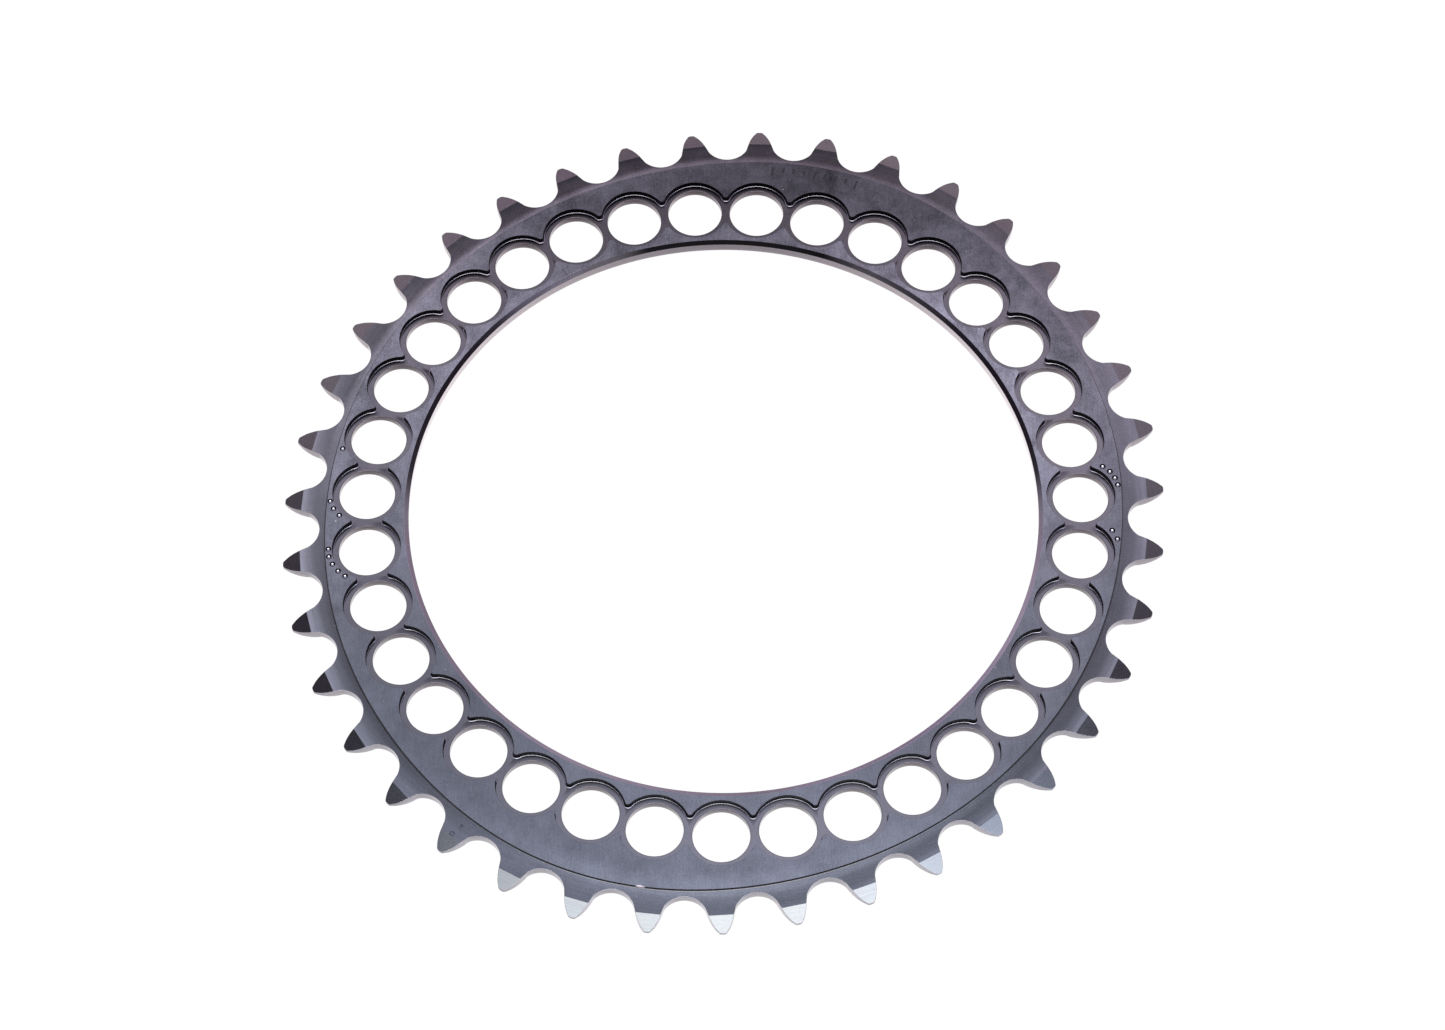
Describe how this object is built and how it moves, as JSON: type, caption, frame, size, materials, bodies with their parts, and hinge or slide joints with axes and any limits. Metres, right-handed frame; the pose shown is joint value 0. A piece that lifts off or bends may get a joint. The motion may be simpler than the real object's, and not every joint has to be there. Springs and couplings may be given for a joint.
{
  "type": "bicycle chainring",
  "caption": "Flat oval chain ring with a toothed rim, a wide open centre and a ring of counterbored bolt holes, for the spider of a bicycle crank.",
  "frame": {"origin": "on the axis of the bolt circle and of the open centre, in the plane of the flat back face", "axes": "+Z out of the front (outer) face, along the crank axle; +X to the right and +Y up as the front face is looked at; the oval's long axis lies about 68 degrees from +X"},
  "size_m": [0.1599, 0.1667, 0.0026],
  "materials": {
    "anodised_plate": "satin black anodised, machined, pale glints on thin edges"
  },
  "bodies": {
    "root": {"chainring": "anodised_plate"}
  },
  "joints": []
}
